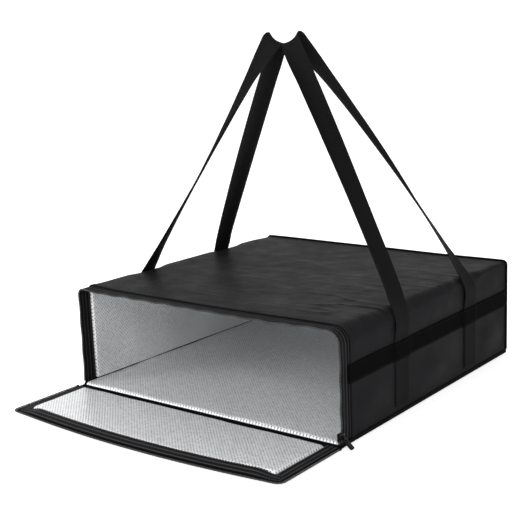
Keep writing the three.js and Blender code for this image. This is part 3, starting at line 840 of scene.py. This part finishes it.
def pad(name, x, y, edge, top, seed, nodes, body):
    """A foil-covered pad: flat below, and above it the height times the edge share, with waves."""
    waves = foil_waves(x, y, seed) * smooth((edge - 0.5) * 2)
    low = PAD_BOTTOM + FILM
    above = joined(x, y, low + (top - low) * edge + waves)
    below = joined(x, y, PAD_BOTTOM)
    thing = slab(name, above, below, joined(x, y), FOIL_MATERIAL, sharp=60)
    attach(thing, body)
    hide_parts(*nodes)


def rounded_edge(distance, width):
    """Share of a pad's height at a distance in from its edge: a quarter of an ellipse."""
    near = np.clip(1 - distance / width, 0, 1)
    return np.sqrt(np.clip(1 - near**2, 0, 1))


def add_pads():
    """The floor's pad in the bag and the flap's pad, with the sewn fold between them."""
    half, front = HALF_WIDTH - CAVITY_INSET, HINGE_Y + 0.0075
    x, y = np.meshgrid(crowded(-half, half, 120), crowded(front, HALF_DEPTH - 0.0074, 130))
    edge = rounded_edge(y - front, 0.006) * rounded_edge(half - np.abs(x), FILM)
    pad("floor_pad", x, y, edge, BASE_TOP, 71, ["lining_floor"], "shell")

    inset = BORDER + 0.0003
    half, rear = FLAP_HALF - inset, HINGE_Y - 0.0076
    x, share = np.meshgrid(crowded(-half, half, 120), crowded(0, 1, 60))
    front = flap_front(x, inset)
    y = rear + share * (front - rear)
    edge = rounded_edge(rear - y, 0.006) * rounded_edge(half - np.abs(x), 0.005)
    edge = edge * rounded_edge(y - front, 0.005)
    pad("flap_pad", x, y, edge, 0.0064, 81, ["flap_foam", "flap_lining"], "flap")


# Zipper tapes and coils


def tape_waver(s):
    """Sideways waver of the mouth's free tape edge round the arch."""
    return 0.0016 * lattice_noise(s / 0.07, 0.5, 91) + 0.0005 * np.sin(s * 2 * math.pi / 0.043)


def mouth_line(s, forward, inset=TAPE_INSET):
    """Points of the mouth's tape at a reach forward of the walls, and their outward normals.

    The free part leans by its waver times a power of the share of the reach.
    """
    points, normals = shell_point(s, -HALF_DEPTH, inset)
    share = np.clip(forward / TAPE_REACH, 0, 1)
    points = points + normals * (tape_waver(s) * share**1.5)[:, None]
    points[:, 1] -= forward
    return points, normals


def add_mouth_tape():
    """Tape round the mouth: rows of points at several reaches, half a tape thick on both sides,
    and thicker in a bell curve along the line where the coil is sewn on."""
    s = round_arch(0.0016, 0.003)
    reaches = np.array([-TAPE_SEWN_IN, -0.004, 0, 0.003, 0.007, 0.012, 0.017, 0.0205, TAPE_REACH])
    lines = [mouth_line(s, reach) for reach in reaches]
    middle, normals = (np.stack(rows, axis=1) for rows in zip(*lines))
    ridge = 1 + 0.5 * bell(reaches - 0.0195, 0.0015)
    half = normals * (TAPE_THICK / 2 * ridge)[None, :, None]
    uv = joined(s[:, None], reaches[None])
    tape = slab("mouth_zipper_tape", middle + half, middle - half, uv, MOUTH_TAPE_MATERIAL)
    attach(tape, "shell")
    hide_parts("mouth_tape")
    for reach in (0.0035, 0.0175):
        points, facing = mouth_line(round_arch(0.01, 0.004), reach, TAPE_INSET - TAPE_THICK / 2)
        stitch("shell", points, facing, pitch=0.0034, length=0.0024, radius=0.00025)


def coil(name, points, outward, facing, nodes, body):
    """A zipper's coil: one bent link per pitch, drawn as a cord that leaves the tape, swells at
    its head and comes back under itself. Around the link's angle t the cord's place is its reach
    * cos t outwards and its rise * sin t along the facing, and it shifts along with t."""
    along = runs_along(points)
    at = np.arange(COIL_PITCH / 2, along[-1], COIL_PITCH)
    step = COIL_PITCH / 2
    ahead = unit(sampled(points, along, at + step) - sampled(points, along, at - step))
    out = unit(sampled(outward, along, at))
    up = unit(sampled(facing, along, at))
    end = 2.5
    t = np.linspace(-end, end, 9)[:, None]
    thick = 0.00042 + 0.00012 * np.cos(t / 2) ** 6
    spin = thick[..., None] * on_circle(even_angles(6))
    offsets = (
        COIL_REACH * np.cos(t) + spin[..., 0] * np.cos(t),
        COIL_RISE * np.sin(t) + spin[..., 0] * np.sin(t),
        COIL_PITCH * 0.22 * t / end + spin[..., 1],
    )
    links = cord_rings(sampled(points, along, at), (out, up, ahead), offsets)
    thing = short_cords(name, links, COIL_MATERIAL, sharp=80)
    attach(thing, body)
    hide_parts(*nodes)


def add_mouth_coil():
    """Coil along the free edge of the mouth's tape."""
    points, normals = mouth_line(round_arch(0.007, 0.002), COIL_AT)
    coil("mouth_coil", points, same_for(points, -INTO_BAG), normals, ["mouth_chain"], "shell")


# Flap edge


def flap_outline(inset, rear, step=0.004):
    """Line round the flap from its right rear end by the front to its left rear end, with the
    outward direction at each point."""
    radius, corner, corner_y, crown_y, between = flap_corner(inset)
    tilt = math.asin(corner / between)
    down = -math.pi / 2
    crown = FLAP_CROWN - inset

    def arc(x, y, size, start, end):
        """Points on a circle from one angle to another, and their directions from its middle."""
        away = on_circle(np.linspace(start, end, max(3, int(size * abs(end - start) / step) + 2)))
        return np.array([x, y]) + size * away, away

    side = spaced(rear, corner_y, step)[:-1]
    right = np.stack([np.full(len(side), FLAP_HALF - inset), side], axis=1)
    parts = [
        (right, np.broadcast_to([1.0, 0.0], right.shape)),
        arc(corner, corner_y, radius, 0, down + tilt),
        arc(0, crown_y, crown, down + tilt, down - tilt),
        arc(-corner, corner_y, radius, down - tilt, -math.pi),
        (right[::-1] * [-1, 1], np.broadcast_to([-1.0, 0.0], right.shape)),
    ]
    points = np.concatenate([line for line, _ in parts])
    away = np.concatenate([direction for _, direction in parts])
    fresh = np.concatenate([[True], np.linalg.norm(np.diff(points, axis=0), axis=1) > 1e-6])
    return points[fresh], away[fresh]


def border_lift(points):
    """Share of the front border's height: one along the front, and none at the sides and the
    corners, where the slider passes. It is a product of two smooth steps, in Y and in X."""
    return smooth((-0.330 - points[:, 1]) / 0.055) * smooth((0.243 - np.abs(points[:, 0])) / 0.035)


def add_flap_border():
    """The flap's bound edge and its zipper tape, carried round the outline.

    Each point's profile is a mix of a low one for the sides and a raised one for the front.
    """
    points, away = flap_outline(0.0, -0.262)
    lift = border_lift(points)[:, None]
    centre, out = at_height(points, 0), at_height(away, 0)
    up = same_for(out, UP)
    waver = 0.0004 * lattice_noise(runs_along(centre) / 0.03, 0.5, 101)[:, None]

    angle = even_angles(14)
    roll = -0.0056 + 0.0021 * np.cos(angle)
    low = 0.00115 + 0.0009 * np.sin(angle)
    high = 0.0027 + 0.0023 * np.sin(angle)
    profile = joined(roll + waver, low + lift * (high - low))
    rim = sweep("flap_bound_edge", centre, out, up, profile, BINDING_MATERIAL,
                uv_across=angle * 0.0017)

    across, thick = oblong(FLAP_TAPE_WIDTH, TAPE_THICK, 11, 30).T
    low = 0.00155
    high = 0.0036 + 0.0026 * smooth((FLAP_TAPE_WIDTH / 2 - across) / FLAP_TAPE_WIDTH * 1.3)
    height = low + lift * (high - low)
    profile = joined(across - FLAP_TAPE_INSET, height + thick + waver / 2)
    tape = sweep("flap_zipper_tape", centre, out, up, profile, FLAP_TAPE_PAINTED_LIGHTER,
                 uv_across=across - 0.0121)
    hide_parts("flap_tape")
    for piece in (rim, tape):
        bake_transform(piece)


def add_flap_seams():
    """The flap's coil, two seams along its tape and one along its bound edge."""
    line, away = flap_outline(0.0017, HINGE_Y - 0.0045, 0.002)
    raised = at_height(line, 0.0017 + border_lift(line) * 0.0006)
    coil("flap_coil", raised, at_height(away, 0), same_for(raised, UP), ["flap_chain"], "flap")

    for inset, extra, thick in ((0.0092, 0.0018, 0.00025), (0.0252, 0.0042, 0.0006)):
        line, _ = flap_outline(inset, HINGE_Y - 0.012)
        raised = at_height(line, 0.0019 + border_lift(line) * extra)
        stitch("flap", raised, UP, pitch=0.0046, length=0.0032, radius=thick)
    line, away = flap_outline(0.0007, HINGE_Y - 0.012)
    raised = at_height(line, 0.0012 + border_lift(line) * 0.0010)
    stitch("flap", raised, at_height(away, 0.3), pitch=0.0038, length=0.0026, radius=0.0003,
           lift=0.0003)


# Trims of the shell


def add_base_binding():
    """Binding folded over the lower edge: an upright oblong carried up one side, round a quarter
    circle, along the back and down the other side."""
    middle, turn = HALF_WIDTH + 0.0010, 0.0010
    side_y = spaced(-HALF_DEPTH - 0.0145, HALF_DEPTH, 0.008)
    left = np.stack([np.full(len(side_y), -middle), side_y], axis=1)
    quarter = turn * on_circle(np.linspace(0, math.pi / 2, 7)[1:]) * [-1, 1]
    half_line = np.concatenate([left, quarter + [-HALF_WIDTH, HALF_DEPTH]])
    back_x = spaced(-HALF_WIDTH, HALF_WIDTH, 0.008)[1:-1]
    back = np.stack([back_x, np.full(len(back_x), HALF_DEPTH + turn)], axis=1)
    line = np.concatenate([half_line, back, half_line[::-1] * [-1, 1]])
    tangent = unit(np.gradient(line, axis=0))
    out = joined(-tangent[:, 1], tangent[:, 0], 0)
    piece = sweep("base_bound_edge", at_height(line, 0.0033), same_for(out, UP), out,
                  oblong(0.0060, 0.0017, 9, 6), BINDING_MATERIAL)
    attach(piece, "shell")
    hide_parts("base_binding")
    stitch("shell", at_height(line, 0.0050) + out * 0.0008, out, pitch=0.0038, length=0.0026)


def add_back_piping():
    """Cord sewn into the back seam, round the arch just outside its corner."""
    points, normals = shell_point(round_arch(0.0062, 0.0015), HALF_DEPTH, -0.0008)
    points[:, 1] += 0.0009
    tangent = unit(np.gradient(points, axis=0))
    facing = unit(np.cross(tangent, normals))
    piece = sweep("back_seam_piping", points, normals, facing, ring(0.0020, 0.0019, 12),
                  BINDING_MATERIAL, uv_across=np.linspace(0, 0.012, 12))
    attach(piece, "shell")
    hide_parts("back_piping")
    line, facing = shell_point(round_arch(0.012, 0.004), HALF_DEPTH - 0.0045)
    stitch("shell", line, facing)


def add_mouth_hem():
    """Folded hem of the cloth where the mouth's tape is sewn in: a rounded oblong ring."""
    points, normals = shell_point(round_arch(0.0016, 0.003), -HALF_DEPTH + 0.0042, -0.0001)
    profile = oblong(0.0100, 0.0013, 9, 8)
    forward = same_for(points, -INTO_BAG)
    piece = sweep("mouth_hem", points, forward, normals, profile, CLOTH_MATERIAL)
    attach(piece, "shell")
    for y in (-HALF_DEPTH + 0.0014, -HALF_DEPTH + 0.0072):
        line, facing = shell_point(round_arch(0.01, 0.004), y, -0.0007)
        stitch("shell", line, facing, pitch=0.0036, length=0.0026, radius=0.0003)


def add_hinge_binding():
    """Bound fold across the base's front edge, a low oblong roll."""
    x = spaced(-0.2507, 0.2507, 0.01)
    centre = joined(x, HINGE_Y + 0.0042, 0.0025)
    across, up = same_for(centre, INTO_BAG), same_for(centre, UP)
    piece = sweep("hinge_bound_fold", centre, across, up, ring(0.0028, 0.0012, 14),
                  BINDING_MATERIAL, uv_across=np.linspace(0, 0.014, 14))
    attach(piece, "shell")
    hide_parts("hinge_binding")
    stitch("shell", centre + 0.0012 * UP, UP, pitch=0.0038)


# Webbing


def band_out(y):
    """Standoff of the side band: flat on the wall, and raised over each strap it crosses."""
    over = 0
    for centre in (STRAP_FRONT, STRAP_REAR):
        over = over + smooth((0.0275 - np.abs(y - centre)) / 0.0085)
    return 0.0010 + 0.0019 * over


def add_bands():
    """A band along each side wall, from the mouth's seam to the back seam."""
    y = spaced(-HALF_DEPTH - 0.0055, HALF_DEPTH - 0.0008, 0.003)
    for name, side in (("left", -1), ("right", 1)):
        out = HALF_WIDTH + band_out(y) + 0.0003 * lattice_noise(y / 0.03, 0.5, 111 + side)
        z = (BAND_LOW + BAND_HIGH) / 2 + 0.0006 * lattice_noise(y / 0.09, 0.5, 121 + side)
        centre = joined(side * out, y, z)
        up, facing = same_for(centre, UP), same_for(centre, [float(side), 0.0, 0.0])
        strip = oblong(BAND_HIGH - BAND_LOW, BAND_THICK, 11)
        band = sweep(f"side_band_{name}", centre, up, facing, strip, BAND_WEBBING_PAINTED_SHADE)
        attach(band, "shell")
        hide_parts(f"band_{name}")
        for lift in (-0.0112, 0.0112):
            line = centre + up * lift + facing * BAND_THICK / 2
            stitch("shell", line, facing, pitch=0.0044, length=0.0032)


# Tables of the legs, by side: -1 is the left handle and 1 the right one, front leg before rear.
# At eight even places up each leg, LEG_TURN is how far the width has turned, in degrees, and
# LEG_CHORD the chord that the cupped strip still spans, as a share of its width.

LEG_TURN = {
    -1: ((0, 17, 25, 31, 34, 41, 57, 89), (0, 11, 20, 29, 41, 54, 69, 89)),
    1: ((0, 8, 12, 18, 28, 40, 56, 89), (0, 21, 27.5, 33.5, 38, 44.5, 60, 89)),
}
LEG_CHORD = {
    -1: (
        (0.99, 0.99, 0.99, 0.99, 0.97, 0.92, 0.90, 0.97),
        (0.97, 0.88, 0.83, 0.80, 0.76, 0.74, 0.76, 0.96),
    ),
    1: (
        (0.97, 0.90, 0.85, 0.82, 0.80, 0.78, 0.78, 0.96),
        (0.98, 0.997, 0.997, 0.97, 0.90, 0.86, 0.87, 0.97),
    ),
}
FLATTEST = 0.9995

# How far each rear foot stands from its even place, and its leg's bow along Y and outwards

REAR_FOOT_SHIFT = {-1: -0.006, 1: 0.0034}
REAR_BOW = {-1: (0.0, 0.0), 1: (0.0045, 0.0064)}


def outwards(side):
    """The direction in which a leaning handle's face looks."""
    return np.array([side * math.cos(LEAN), 0.0, math.sin(LEAN)])


def leg(side, foot_y, apex, bow):
    """Centre line of a leg from its sewn end to the apex, and its share run along the free part.

    The line runs up the wall, leaves it at a soft bend about the pivot, and goes on in a slight
    bow, which is 4 t (1 - t) of its two amounts, along Y and outwards, at the share t. Where the
    band crosses the strap, the line stands out by a squared sine of the share up.
    """
    pivot = np.array([side * PIVOT_X, foot_y, PIVOT_Z])
    direction = unit(apex - pivot)
    out = outwards(side)
    wall_z = spaced(STRAP_BOTTOM, PIVOT_Z - 0.022, 0.004)
    wall = joined(side * (HALF_WIDTH + STRAP_OUT), foot_y, wall_z)
    low, high = wall[-1], pivot + direction * 0.030 + out * 0.0016
    t = np.linspace(0, 1, 13)[1:-1, None]
    bend = (1 - t) ** 2 * low + 2 * t * (1 - t) * (pivot + out * 0.0034) + t**2 * high
    t = np.linspace(0, 1, 70)[:, None]
    aside = bow[0] * INTO_BAG + bow[1] * out
    free = high + (apex - high) * t + 4 * t * (1 - t) * aside
    centre = np.concatenate([wall, bend, free])
    up = np.clip((centre[:, 2] - 0.113) / 0.060, 0, 1)
    centre[:, 0] += side * 0.0022 * np.sin(math.pi * up) ** 2
    share = (centre - pivot) @ direction / np.linalg.norm(apex - pivot)
    return centre, np.clip(share, 0, 1)


def handle_line(side):
    """Whole line of a handle: the front leg up, an arc over the apex, the rear leg down. It also
    gives each point's share run up its leg, and whether it is on the front half."""
    lean = np.array([-side * math.sin(LEAN), 0.0, math.cos(LEAN)])
    base = np.array([side * PIVOT_X, 0.0, PIVOT_Z])
    middle = np.array([APEX_Y, HANDLE_TOP_RUN - APEX_RADIUS])
    rear_foot = STRAP_REAR + REAR_FOOT_SHIFT[side]

    def touching(foot_y, sign):
        """The angle at which a leg from its foot touches the arc."""
        away = np.array([foot_y, 0.0]) - middle
        opening = math.acos(APEX_RADIUS / np.linalg.norm(away))
        return math.atan2(away[1], away[0]) - sign * opening

    front, rear = touching(STRAP_FRONT, 1) + 2 * math.pi, touching(rear_foot, -1)
    plan = middle + APEX_RADIUS * on_circle(np.linspace(front, rear, 21))
    over = base + plan[:, :1] * INTO_BAG + plan[:, 1:] * lean
    front_line, front_share = leg(side, STRAP_FRONT, over[0], (0.0, 0.0))
    rear_line, rear_share = leg(side, rear_foot, over[-1], REAR_BOW[side])
    centre = np.concatenate([front_line[:-1], over, rear_line[::-1][1:]])
    share = np.concatenate([front_share[:-1], np.ones(len(over)), rear_share[::-1][1:]])
    is_front = np.arange(len(centre)) < len(front_line) + 10
    return centre, share, is_front


def cupped_strip(chord, side):
    """Profile of webbing bent into an arc at each point, whose chord is a share of the width: the
    height at a place a across is radius * (cos(a / radius) - mean)."""
    across, thick = oblong(WEB_WIDTH, WEB_THICK, 15).T[:, None]
    opened = np.sqrt(np.clip(6 * (1 - chord), 1e-4, None)) * (1 + 0.05 * (1 - chord))
    opened = opened[:, None]
    radius = WEB_WIDTH / 2 / opened
    turn = across / radius
    sideways = (radius + side * thick) * np.sin(turn)
    upwards = side * radius * (np.cos(turn) - np.sin(opened) / opened) + thick * np.cos(turn)
    return np.stack([sideways, upwards], axis=-1), across


def add_handle(name, side):
    """A webbing handle with its sewn ends. Up each leg the width turns from Y to the outward
    direction of the leaning plane, and on the way the strip cups into an arc. Turn and chord are
    their tables' values, softened along the line."""
    centre, share, is_front = handle_line(side)
    runs = runs_along(centre)
    apex_at = runs[np.flatnonzero(is_front)[-1]]
    near_apex = apex_at + np.linspace(-0.020, 0.020, 31)
    even = np.unique(np.concatenate([spaced(0, runs[-1], 0.0042), near_apex]))
    centre, share = sampled(centre, runs, even), np.interp(even, runs, share)
    first = even <= apex_at

    def up_legs(tables):
        """The tables' values at each share, the front leg's before the apex."""
        knots = np.linspace(0, 1, len(tables[0]))
        front, rear = (np.interp(share, knots, values) for values in tables)
        return np.where(first, front, rear)

    def softened(values):
        """Mean of seven values, with weights that fall evenly to both sides."""
        kernel = np.array([1, 2, 3, 4, 3, 2, 1]) / 16
        return np.convolve(np.pad(values, 3, mode="edge"), kernel, mode="valid")

    turned = softened(np.radians(up_legs(LEG_TURN[side])))[:, None]
    cupping = smooth((share - 0.03) / 0.10)
    chord = softened(FLATTEST + (up_legs(LEG_CHORD[side]) - FLATTEST) * cupping)
    tangent = unit(np.gradient(centre, even, axis=0))
    level = INTO_BAG * np.where(first, 1.0, -1.0)[:, None]
    level = unit(level - tangent * np.einsum("ij,ij->i", level, tangent)[:, None])
    square = unit(outwards(side) - tangent * (tangent @ outwards(side))[:, None])
    across = level * np.cos(turned) + square * np.sin(turned)
    across = np.where((share > 0.9999)[:, None], square, unit(across))
    facing = unit(np.cross(tangent, across))
    profile, uv_across = cupped_strip(chord, side)
    piece = sweep(f"handle_webbing_{name}", centre, across, facing, profile, HANDLE_WEBBING_PAINTED_LIGHT,
                  uv_across=uv_across)
    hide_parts(f"handle_{name}", f"strap_{name}_front", f"strap_{name}_rear")
    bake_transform(piece)


def sew_straps(side):
    """Seams of both straps of a side: along each edge below, under and above the band, and two
    rows across the foot. The seams lie on the strap's face, or on the band's where it crosses."""
    on_strap, on_band = HALF_WIDTH + STRAP_OUT + 0.0008, HALF_WIDTH + 0.0037
    columns = (
        (on_strap, STRAP_BOTTOM + 0.002, BAND_LOW - 0.001),
        (on_band, BAND_LOW + 0.003, BAND_HIGH - 0.003),
        (on_strap, BAND_HIGH + 0.001, BAND_HIGH + 0.008),
    )
    outward = np.array([float(side), 0.0, 0.0])
    for foot in (STRAP_FRONT, STRAP_REAR + REAR_FOOT_SHIFT[side]):
        edges = (foot - SEAM_FROM_MIDDLE, foot + SEAM_FROM_MIDDLE)
        lines = [
            joined(side * out, edge, spaced(low, high, 0.004))
            for edge in edges for out, low, high in columns
        ]
        rows = (STRAP_BOTTOM + 0.003, STRAP_BOTTOM + 0.0065)
        lines += [joined(side * on_strap, spaced(*edges, 0.004), z) for z in rows]
        for line in lines:
            stitch("shell", line, outward, pitch=0.0038)


# Metal parts, each with the body that it rides on

METAL_BODIES = {
    "zip_slider": "zip_slider", "zip_pull": "zip_pull",
    "mouth_stop_left": "shell", "mouth_stop_right": "shell",
    "flap_stop_left": "flap", "flap_stop_right": "flap",
}
WELD_DISTANCE = 0.00001


def finish_metal(node, body):
    """The CAD node's own shape, welded and with its edges softened, in black metal."""
    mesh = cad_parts[node].data.copy()
    piece = add_object(f"{node}_finished", mesh)
    weld = piece.modifiers.new("weld", "WELD")
    weld.merge_threshold = WELD_DISTANCE
    bevel = piece.modifiers.new("bevel", "BEVEL")
    bevel.width = 0.00035 if node.startswith("zip") else 0.0003
    bevel.segments = 3
    bevel.limit_method = "ANGLE"
    bevel.angle_limit = math.radians(35)
    mesh.materials.clear()
    mesh.materials.append(METAL_MATERIAL)
    mesh.polygons.foreach_set("use_smooth", np.ones(len(mesh.polygons), bool))
    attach(piece, body)
    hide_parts(node)


# Stage and light


def add_stage():
    """A wide pale floor that rises behind the bag in a large quarter circle."""
    near, bend_at, radius, top, half = -6.0, 3.0, 2.5, 6.0, 9.0
    rise = np.linspace(0, math.pi / 2, 24)[1:]
    run = np.concatenate([[near, bend_at], bend_at + radius * np.sin(rise), [bend_at + radius]])
    up = np.concatenate([[0.0, 0.0], radius * (1 - np.cos(rise)), [top]]) - 0.0004
    heading = unit(np.array([CAMERA_AIM.x - CAMERA_PLACE.x, CAMERA_AIM.y - CAMERA_PLACE.y]))
    side = np.array([heading[1], -heading[0]])
    plan = run[:, None, None] * heading + np.array([-half, half])[None, :, None] * side
    points = joined(plan[..., 0], plan[..., 1], up[:, None])
    mesh = bpy.data.meshes.new("floor")
    mesh.from_pydata(points.reshape(-1, 3).tolist(), [], grid_faces(len(run), 2).tolist())
    mesh.polygons.foreach_set("use_smooth", np.ones(len(mesh.polygons), bool))
    surface = Surface("pale_floor", (0.9, 0.9, 0.9), 0.9, Specular_IOR_Level=0.1,
                      Emission_Color=(1, 1, 1, 1), Emission_Strength=0.5)
    mesh.materials.append(surface.material)
    add_object("floor", mesh)


def add_light(name, place, aim, size, power):
    """An oblong soft light that faces its aim."""
    data = bpy.data.lights.new(name, "AREA")
    data.shape = "RECTANGLE"
    data.size, data.size_y = size
    data.energy = power
    light = add_object(name, data)
    light.location = place
    light.rotation_euler = (Vector(aim) - Vector(place)).to_track_quat("-Z", "Y").to_euler()


def add_lights():
    """Soft boxes above, in front and on both sides, in a bright even surround."""
    bpy.context.scene.view_settings.view_transform = "Standard"
    world = bpy.data.worlds.new("surround")
    bpy.context.scene.world = world
    world.use_nodes = True
    surround = world.node_tree.nodes["Background"].inputs
    surround["Color"].default_value = (1, 1, 1, 1)
    surround["Strength"].default_value = 0.66
    add_light("sky_panel", (-0.3, 1.2, 2.2), (0, 0, 0.1), (2.4, 1.6), 7)
    add_light("front_panel", (0.6, -2.2, 1.6), (0, -0.1, 0.1), (1.6, 1.2), 9)
    add_light("side_panel", (1.7, -1.6, 0.85), (0.25, -0.1, 0.1), (1.0, 0.8), 10)
    add_light("left_panel", (-1.5, -1.5, 0.9), (-0.15, -0.1, 0.35), (0.8, 0.8), 18)


add_outer_wrap()
add_outer_back()
add_ground_cloth()
add_cavity_foil()
add_back_foil()
add_pads()
add_mouth_tape()
add_mouth_coil()
add_flap_border()
add_flap_seams()
add_base_binding()
add_back_piping()
add_mouth_hem()
add_hinge_binding()
add_bands()
for handle_name, handle_side in (("left", -1), ("right", 1)):
    add_handle(handle_name, handle_side)
    sew_straps(handle_side)
for metal_node, metal_body in METAL_BODIES.items():
    finish_metal(metal_node, metal_body)
for sewn_body in thread_parts:
    build_threads(sewn_body)
add_stage()
add_lights()
